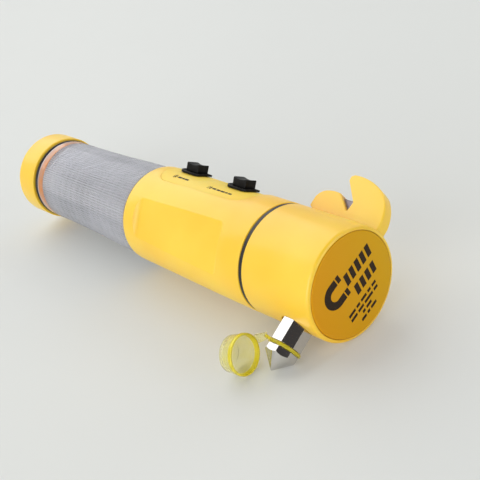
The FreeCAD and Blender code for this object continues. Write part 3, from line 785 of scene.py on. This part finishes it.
class FLARE_OT_sliders(bpy.types.Operator):
    """The two black slide switches: an oval flange with a raised rim and a hollowed knob"""

    bl_idname = "flare.sliders"
    bl_label = "Switch sliders"

    knob_top, hollow_radius, hollow_deep = 27.85, 13.0, 0.75

    def execute(self, context):
        size = context.scene.flare_sizes
        for name, along in zip(("torch_slider", "beacon_slider"), SWITCH_PLACES):
            place = along + SWITCH_REST
            slider = joined(name + "_knob", [self.flange(place), self.knob(place), self.foot(place)])
            smooth(slider, 40)
            settle(slider, about_torch(size.switch_turn))
            finish(slider, material("black_plastic"), "black_plastic", name, name)
        return {"FINISHED"}

    def flange(self, place):
        """An oval bent round the panel, with a raised rim."""
        flange = brick("flange", (-4.9, place - 7.2, 15.0), (4.9, place + 7.2, 30.0), 3.3,
                       upright=True)
        combine(flange, tube("sleeve", 23.32, 24.25, place - 9, place + 9), "INTERSECT")
        with editing(flange, "FACE"):
            bpy.ops.mesh.select_all(action="SELECT")
            bpy.ops.mesh.remove_doubles(threshold=0.25 * MM)
            choose(flange, "faces", lambda face: face.normal.z > 0.7)
            bpy.ops.mesh.inset(thickness=0.75 * MM, depth=0, use_even_offset=False)
            bpy.ops.mesh.inset(thickness=0.25 * MM, depth=-0.42 * MM, use_even_offset=False)
        soften(flange, 0.14 * MM, 45, 2)
        return flange

    def knob(self, place):
        """The block that a thumb pushes, hollowed across its top."""
        top, radius = self.knob_top, self.hollow_radius
        knob = brick("knob", (-3.2, place - 4.3, 23.4), (3.2, place + 4.3, top), 0.75,
                     upright=True)
        with editing(knob):
            choose(knob, "edges",
                   lambda edge: min(v.co.z for v in edge.verts) > (top - 0.05) * MM)
            bpy.ops.mesh.bevel(offset=0.45 * MM, segments=3, affect="EDGES")
        cutter = rod("hollow", radius, -8, 8, 96)
        settle(cutter, Matrix.Translation((0, place * MM, (top - self.hollow_deep + radius) * MM))
               @ Matrix.Rotation(math.radians(90), 4, "Z"))
        combine(knob, cutter)
        soften(knob, 0.2 * MM, 30, 2)
        return knob

    def foot(self, place):
        """The lug that reaches through the panel's slot."""
        return brick("foot", (-1.7, place - 2.7, 18.45), (1.7, place + 2.7, 23.6), 0.3)


class FLARE_OT_tail_cap(bpy.types.Operator):
    """The screw-on tail cap with the belt cutter's fin and the hammer's seat"""

    bl_idname = "flare.tail_cap"
    bl_label = "Tail cap"

    def execute(self, context):
        size = context.scene.flare_sizes
        inner_thread = [(radius + 0.35, along) for radius, along in thread(21.9, 0.1, 23.0, 2.5, 4)]
        cap = turned("tail_shell", [
            (POLE, 6.8), (16.3, 6.8), (16.3, 2.1), (22.35, 2.1), (22.35, 0.35), (24.0, 0.35),
            (24.0, 12.0), (24.0, 26.0), (24.0, 38.9), (22.2, 38.9),
            *[(radius, along) for radius, along in reversed(inner_thread)],
            (22.0, 22.2), (20.0, 22.2), (20.0, 8.2), (POLE, 8.2)],
            rounds=[(24.0, 0.35, 1.5), (24.0, 38.9, 0.45), (22.35, 0.35, 0.12)])
        combine(cap, self.fin(), "UNION")
        combine(cap, brick("slit", (-0.5, 16.4, 26.2), (0.5, 28.4, 33.7)))
        seat = rod("seat", 7.15, -22.9, -30.0, 64)
        upright = (Matrix.Translation((0, HAMMER_ALONG, 0))
                   @ Matrix.Rotation(math.radians(90), 4, "X"))
        settle(seat, upright)
        combine(cap, seat)
        bore = rod("bore", 3.15, -12.0, -30.0, 32)
        settle(bore, upright)
        combine(cap, bore)
        soften(cap, 0.6 * MM, 42)
        smooth(cap)
        settle(cap, about_torch(size.tail_turn))
        finish(cap, material("yellow_plastic"), "yellow_plastic", "tail", "tail_cap")
        seal = turned("tail_seal_band", [
            (22.0, 38.97), (23.55, 38.97), (23.7, 39.2), (23.7, 40.7), (23.55, 40.93),
            (22.0, 40.93), (22.0, 38.97)])
        soften(seal, 0.2 * MM, 40, 3)
        smooth(seal)
        finish(seal, material("rubber"), "rubber", "tail_seal", "tail_seal")
        return {"FINISHED"}

    def fin(self):
        """The belt cutter's fin, with its mouth towards the head."""
        outline = [(38.4, 23.0), (38.4, 24.3), (40.55, 25.45), (40.4, 29.8)]
        outline += swell((40.4, 29.8), (36.4, 33.9), 6.0)
        outline += swell((36.4, 33.9), (28.6, 34.3), 16.0)
        outline += [(20.7, 27.6), (20.2, 32.0), (28.4, 40.8), (28.5, 43.0), (26.8, 43.9)]
        outline += swell((26.8, 43.9), (8.0, 39.0), 30.0, 14)
        outline += swell((8.0, 39.0), (1.3, 27.0), 21.0, 10)
        outline += [(1.3, 23.0)]
        fin = plate("fin", outline, 5.8)
        soften(fin, 1.25 * MM, 50, 5)
        return fin


class FLARE_OT_end_disc(bpy.types.Operator):
    """The amber cover of the magnet, with a magnet pictogram and plain bars printed on it"""

    bl_idname = "flare.end_disc"
    bl_label = "Magnet cover"

    text_turn = math.radians(-23)
    front, back = 0.04, 0.16
    bow_x, bow_z, bow_inner, bow_outer = -8.2, 4.6, 2.6, 6.0

    def execute(self, context):
        disc = turned("end_disc", [
            (POLE, 0.1), (21.0, 0.1), (22.15, 0.1), (22.15, 2.0), (POLE, 2.0)],
            rounds=[(22.15, 0.1, 0.5)])
        smooth(disc)
        finish(disc, material("amber_plastic"), "amber_plastic", "tail", "magnet_cover")
        marks = self.magnet()
        marks += [self.bar(x, 4.6, 2.4, 5.4) for x in (-0.6, 3.0, 6.6, 10.2, 13.8)]
        marks += [self.bar(x, -3.4, 2.4, 5.0) for x in (0.6, 4.2, 7.8, 11.4)]
        rows = [(-9.3, -9.6, (4.2, 2.2, 3.6, 2.0, 2.6)), (-11.7, -9.9, (4.0, 3.6, 5.4, 2.4)),
                (-14.1, -3.6, (1.6, 3.4)), (-16.5, -6.0, (3.0, 1.5, 3.6))]
        for height, start, words in rows:
            for wide in words:
                marks.append(self.bar(start + wide / 2, height, wide, 1.25))
                start += wide + 1.0
        printed = joined("end_print", marks)
        settle(printed, about_torch(self.text_turn))
        finish(printed, material("ink"), "black_plastic", "tail")
        return {"FINISHED"}

    def bar(self, x, z, wide, high):
        """A printed bar, leaning a little as slanted print does."""
        bar = brick("bar", (x - wide / 2, self.front, z - high / 2),
                    (x + wide / 2, self.back, z + high / 2))
        with editing(bar, "VERT"):
            choose(bar, "verts", lambda vert: vert.co.z > z * MM)
            bpy.ops.transform.translate(value=(0.16 * high * MM, 0, 0))
        return bar

    def magnet(self):
        """A horseshoe: a half ring with two legs, and a gap before each pole's tip."""
        bow = tube("bow", self.bow_inner, self.bow_outer, self.front, self.back, 48)
        settle(bow, Matrix.Translation((self.bow_x * MM, 0, self.bow_z * MM)))
        combine(bow, brick("half", (self.bow_x, -1, -8), (4, 1, 16)))
        legs = [self.leg(sign, start, wide) for sign in (-1, 1)
                for start, wide in ((self.bow_x, 3.4), (-4.2, 1.9))]
        return [bow, *legs]

    def leg(self, sign, start, wide):
        """A stretch of the leg on one side of the horseshoe."""
        return brick("leg", (start, self.front, self.bow_z + sign * self.bow_inner),
                     (start + wide, self.back, self.bow_z + sign * self.bow_outer))


class FLARE_OT_hammer(bpy.types.Operator):
    """The octagonal steel bar with its groove, its point and its threaded shank"""

    bl_idname = "flare.hammer"
    bl_label = "Window hammer"

    def execute(self, context):
        size = context.scene.flare_sizes
        half_side = math.radians(360 / 8 / 2)
        corner = size.hammer_flats / 2 / math.cos(half_side) / MM
        bar = turned("hammer_point", [
            (corner, 22.9), (corner, 32.7), (5.4, 32.7), (5.4, 34.6), (corner, 34.6), (corner, 43.7),
            (POLE, 43.7), (POLE, 22.9)], 8)
        settle(bar, Matrix.Rotation(half_side, 4, "Y"))
        cone = turned("cone", [(0.3, 43.7), (21.3, 22.7), (POLE, 22.7)], 96)
        combine(bar, cone, "INTERSECT")
        soften(bar, 0.16 * MM, 25, 2)
        shank = turned("shank", [(3.0, 13.8), *thread(3.0, 0.3, 14.0, 0.8, 8), (3.0, 20.6),
                                 (3.0, 23.2)], 32)
        hammer = joined("hammer_point", [bar, shank])
        smooth(hammer, 12)
        settle(hammer, hammer_frame())
        finish(hammer, material("polished_steel"), "polished_steel", "tail", "hammer_head")
        return {"FINISHED"}


class FLARE_OT_guard(bpy.types.Operator):
    """The soft guard of the hammer's point: its ring, its strap and its cap, hanging open"""

    bl_idname = "flare.guard"
    bl_label = "Hammer guard"

    lug_way = Vector((-0.46, 0.342, 0.82)).normalized()
    lug_stations = ((6.9, 1.1), (8.2, 0.9), (9.9, 0.85), (10.1, 0.7))
    strap_start, strap_end = 9.5, 9.0
    ring_along, rim_along = 33.65, 36.8

    def execute(self, context):
        vinyl = material("soft_vinyl")
        ring = tube("guard_loop", 5.7, 7.25, 32.97, 34.33, 72)
        soften(ring, 0.35 * MM, 40, 4)
        smooth(ring)
        settle(ring, hammer_frame())
        lug = self.lug()
        ring = joined("guard_loop", [ring, lug])
        finish(ring, vinyl, "soft_vinyl", "guard_ring", "guard_ring")

        cap = turned("guard_cup", [
            (7.8, 36.15), (8.6, 36.15), (8.6, 37.6), (8.2, 38.1), (7.95, 40.8), (7.55, 43.4),
            (6.3, 44.6), (4.9, 44.6), (4.5, 44.3), (POLE, 44.3), (POLE, 43.7), (5.6, 43.7),
            (6.6, 43.0), (7.1, 40.8), (7.4, 38.1), (7.8, 36.15)], 96,
            rounds=[(6.3, 44.6, 0.5)])
        soften(cap, 0.25 * MM, 50, 3)
        smooth(cap, 50)
        settle(cap, guard_turn() @ hammer_frame())
        finish(cap, vinyl, "soft_vinyl", "guard_cap", "guard_cap")
        cap.data.materials.append(material("thin_vinyl"))
        to_local = (guard_turn() @ hammer_frame()).inverted()
        for face in cap.data.polygons:
            if (to_local @ face.center).y > 38.1 * MM:
                face.material_index = 1
        self.strap(material("thin_vinyl"))
        return {"FINISHED"}

    def ring_middle(self):
        """The middle of the guard's ring, on the hammer's axis."""
        return hammer_frame() @ Vector((0, self.ring_along * MM, 0))

    def lug(self):
        """The thick root of the strap, which stands on the ring."""
        bar_way = (hammer_frame().to_3x3() @ Vector((0, 1, 0))).normalized()
        across = bar_way.cross(self.lug_way)
        centre = self.ring_middle()
        lug = self.ribbon("lug", [
            (centre + self.lug_way * far * MM, across, bar_way, wide, 0.6)
            for far, wide in self.lug_stations])
        soften(lug, 0.3 * MM, 50, 3)
        smooth(lug, 40)
        return lug

    def strap(self, vinyl):
        """The thin web from the lug to the open cap's rim, turning towards the rim as it nears the cap."""
        opened = guard_turn() @ hammer_frame()
        rim_way = (opened.to_3x3() @ Vector((0, 1, 0))).normalized()
        fold_way = Vector(JOINTS["guard_cap_fold"]["axis"]).normalized()
        reach = Vector((0.966, 0.217, 0.138))
        reach = (reach - rim_way * reach.dot(rim_way)).normalized()
        start = self.ring_middle() + self.lug_way * self.strap_start * MM
        end = opened @ Vector((0, self.rim_along * MM, 0)) + reach * self.strap_end * MM
        through = fold_way.cross(end - start).normalized()
        rim_side = rim_way.cross(reach)
        rim_side *= math.copysign(1, rim_side.dot(fold_way))
        flat = reach * math.copysign(1, reach.dot(through))
        stations = []
        for step in range(9):
            part = step / 8
            wide = fold_way.lerp(rim_side, part ** 3).normalized()
            thick = through.lerp(flat, part ** 3)
            thick = (thick - wide * thick.dot(wide)).normalized()
            sag = through * (0.25 * MM * math.sin(math.pi * part))
            stations.append((start.lerp(end, part) + sag, wide, thick,
                             2.2 + 0.3 * math.sin(math.pi * part), 0.42 - 0.16 * part))
        web = self.ribbon("guard_strap_web", stations)
        soften(web, 0.14 * MM, 50, 2)
        smooth(web, 40)
        web.data.materials.clear()
        web.data.materials.append(vinyl)
        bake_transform(web)
        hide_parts("guard_strap")

    def ribbon(self, name, stations):
        """A flat band: a square extruded from one station to the next, each of them its centre, its
        wide way, its thick way and its half width and half thickness in millimetres."""
        band = added(bpy.ops.mesh.primitive_plane_add, name, size=2)
        with editing(band, "VERT"):
            bpy.ops.mesh.select_all(action="SELECT")
            before = (Vector(), Vector((1, 0, 0)), Vector((0, 1, 0)))
            for number, (centre, wide_way, thick_way, wide, thick) in enumerate(stations):
                if number:
                    bpy.ops.mesh.extrude_region_move(TRANSFORM_OT_translate={"value": (0, 0, 0)})
                mesh = bmesh.from_edit_mesh(band.data)
                for vert in (vert for vert in mesh.verts if vert.select):
                    across = math.copysign(wide * MM, (vert.co - before[0]).dot(before[1]))
                    through = math.copysign(thick * MM, (vert.co - before[0]).dot(before[2]))
                    vert.co = centre + wide_way * across + thick_way * through
                bmesh.update_edit_mesh(band.data)
                before = (centre, wide_way, thick_way)
            bpy.ops.mesh.select_all(action="SELECT")
            bpy.ops.mesh.normals_make_consistent(inside=False)
        return band


class FLARE_OT_lens(bpy.types.Operator):
    """The clear tube round the beacon, covered in a grid of small prisms"""

    bl_idname = "flare.lens"
    bl_label = "Beacon lens"

    mean_radius = 20.5

    def execute(self, context):
        size = context.scene.flare_sizes
        start, finish_at = 126.0, 199.0
        rows = round((finish_at - start) / (size.prism / MM))
        places = [start + (finish_at - start) * row / rows for row in range(rows + 1)]
        grid = [(self.outer(along), along) for along in places]
        count = 4 * round(math.tau * self.mean_radius * MM / size.prism / 4)
        lens = turned("beacon_tube", [
            (18.3, 117.0), (20.3, 117.0), (20.3, 124.75), (21.8, 124.8), *grid,
            (19.8, 199.4), (19.8, 203.6), (19.4, 204.0), (18.0, 204.0),
            *thread(18.0, 0.4, 206.6, 2.5, 2), (18.0, 213.0), (16.4, 213.0), (16.4, 204.0),
            (18.0, 201.0), (18.0, 160.0), (18.3, 117.0)], count)
        with editing(lens, "FACE"):
            choose(lens, "faces", lambda face: spread(face.calc_center_median()) > 19 * MM and
                   (start + 0.1) * MM < face.calc_center_median().y < (finish_at - 0.1) * MM)
            bpy.ops.mesh.poke(offset=size.prism_height)
        smooth(lens, 14)
        finish(lens, material("prisms"), "clear_plastic", "grip", "beacon_lens")
        lens.data.materials.append(material("collar"))
        for face in lens.data.polygons:
            if face.center.y > (finish_at + 0.2) * MM:
                face.material_index = 1
        return {"FINISHED"}

    def outer(self, along):
        """The tube's outer radius, which narrows towards the head."""
        stations = [(124.8, 21.55), (142.0, 21.0), (160.0, 20.2), (176.0, 19.8), (190.0, 19.6),
                    (204.0, 19.6)]
        for (low, wide), (high, narrow) in zip(stations, stations[1:]):
            if along <= high:
                part = (along - low) / (high - low)
                return wide + (narrow - wide) * part
        return stations[-1][1]


class FLARE_OT_head(bpy.types.Operator):
    """The yellow ring that holds the front window"""

    bl_idname = "flare.head"
    bl_label = "Head ring"

    def execute(self, context):
        end = HEAD_HIGH.y / MM
        ring = turned("head_ring", [
            (18.45, 206.3), (20.9, 206.3), (20.9, 212.0), (20.9, end), (17.4, end),
            (17.0, end - 2.0), (18.45, end - 2.05), (18.45, 206.3)],
            rounds=[(20.9, end, 2.6), (20.9, 206.3, 0.5), (17.4, end, 0.5)])
        smooth(ring)
        finish(ring, material("yellow_plastic"), "yellow_plastic", "head", "head_bezel")
        return {"FINISHED"}


class FLARE_OT_frame_finish(bpy.types.Operator):
    """Materials for the nodes of the frame that show as they are"""

    bl_idname = "flare.frame_finish"
    bl_label = "Inner parts"

    def execute(self, context):
        for part in frame["record"]["subparts"]:
            node = frame["nodes"][part["node"]]
            if not node.hide_render:
                node.data.materials.clear()
                name = "blade_steel" if part["node"] == "cutter_blade" else part["material_slot"]
                node.data.materials.append(material(name))
        return {"FINISHED"}


class FLARE_OT_stage(bpy.types.Operator):
    """The pale floor, soft studio lights and the camera"""

    bl_idname = "flare.stage"
    bl_label = "Stage"

    eye = (-0.2311, -0.2752, 0.2366)
    look_turn, look_down, roll = 34.04, 29.64, -15.6
    floor_gap, floor_glow, floor_tint = 0.0001, 0.17, (1.0, 0.975, 0.92)
    lamps = (("back", (0.1, 0.85, 0.85), 1.35, 9.0, (1.0, 0.99, 0.97)),
             ("right", (0.95, -0.1, 0.6), 0.7, 3.5, (1.0, 0.99, 0.97)),
             ("fill", (-1.1, -0.25, 0.4), 1.0, 11.0, (1.0, 0.99, 0.98)),
             ("front", (0.35, -1.15, 0.3), 0.8, 6.0, (1.0, 0.99, 0.98)))
    lamps_aim = Vector((0, 0.08, 0))

    def execute(self, context):
        floor = added(bpy.ops.mesh.primitive_grid_add, "floor", size=6, x_subdivisions=12,
                      y_subdivisions=12, location=(0, 0, CAD_BOX[0].z - self.floor_gap))
        paint = Paint("studio_floor")
        tone = colours().floor
        paint.colour(paint.mix(paint.noise(1.5, 2), tone, tuple(0.97 * value for value in tone)))
        paint.roughness(0.55 + 0.1 * paint.noise(20, 2))
        paint.plug(paint.shader.inputs["Emission Color"], self.floor_tint)
        paint.plug(paint.shader.inputs["Emission Strength"], self.floor_glow)
        floor.data.materials.append(paint.material)

        world = bpy.data.worlds.new("studio")
        bpy.context.scene.world = world
        world.use_nodes = True
        sky = Nodes(world.node_tree)
        back = sky.span(sky.along(1, "Generated"), -0.3, 0.55)
        sky.plug(world.node_tree.nodes["Background"].inputs["Color"],
                 sky.mix(back, (0.07, 0.065, 0.065), (0.62, 0.64, 0.66)))
        for lamp in self.lamps:
            self.lamp(*lamp)

        data = bpy.data.cameras.new("camera")
        data.sensor_width, data.lens = 36.0, 82.5
        data.clip_start, data.clip_end = 0.01, 20.0
        camera = bpy.data.objects.new("camera", data)
        bpy.context.scene.collection.objects.link(camera)
        camera.location = self.eye
        turn, down = math.radians(self.look_turn), math.radians(self.look_down)
        ahead = Vector((math.sin(turn) * math.cos(down), math.cos(turn) * math.cos(down),
                        -math.sin(down)))
        camera.rotation_mode = "QUATERNION"
        camera.rotation_quaternion = (ahead.to_track_quat("-Z", "Y")
                                      @ Quaternion((0, 0, 1), math.radians(self.roll)))
        bpy.context.scene.camera = camera
        bpy.context.scene.view_settings.view_transform = "Standard"
        return {"FINISHED"}

    def lamp(self, name, place, side, power, tint):
        """A square softbox that faces the torch's middle."""
        data = bpy.data.lights.new(name, "AREA")
        data.size, data.energy, data.color = side, power, tint
        lamp = bpy.data.objects.new(name, data)
        bpy.context.scene.collection.objects.link(lamp)
        lamp.location = place
        aim = self.lamps_aim - Vector(place)
        lamp.rotation_euler = aim.to_track_quat("-Z", "Y").to_euler()


BUILDERS = (FLARE_OT_grip, FLARE_OT_panel, FLARE_OT_sliders, FLARE_OT_tail_cap, FLARE_OT_end_disc,
            FLARE_OT_hammer, FLARE_OT_guard, FLARE_OT_lens, FLARE_OT_head, FLARE_OT_frame_finish,
            FLARE_OT_stage)


class FLARE_PT_panel(bpy.types.Panel):
    """The sizes, the colours and one button for each piece"""

    bl_idname = "FLARE_PT_panel"
    bl_label = "LED safety flare"
    bl_space_type = "VIEW_3D"
    bl_region_type = "UI"
    bl_category = "Flare"

    def draw(self, context):
        for group in (context.scene.flare_sizes, context.scene.flare_colours):
            box = self.layout.box()
            for name in group.__annotations__:
                box.prop(group, name)
        for builder in BUILDERS:
            self.layout.operator(builder.bl_idname)


CLASSES = (FlareSizes, FlareColours, *BUILDERS, FLARE_PT_panel)


def register():
    for entry in CLASSES:
        bpy.utils.register_class(entry)
    bpy.types.Scene.flare_sizes = PointerProperty(type=FlareSizes)
    bpy.types.Scene.flare_colours = PointerProperty(type=FlareColours)


def unregister():
    del bpy.types.Scene.flare_colours
    del bpy.types.Scene.flare_sizes
    for entry in reversed(CLASSES):
        bpy.utils.unregister_class(entry)


def main():
    """Build every piece."""
    register()
    for builder in BUILDERS:
        group, name = builder.bl_idname.split(".")
        if getattr(getattr(bpy.ops, group), name)() != {"FINISHED"}:
            raise RuntimeError(builder.bl_label + " wasn't built")


if __name__ == "__main__":
    main()
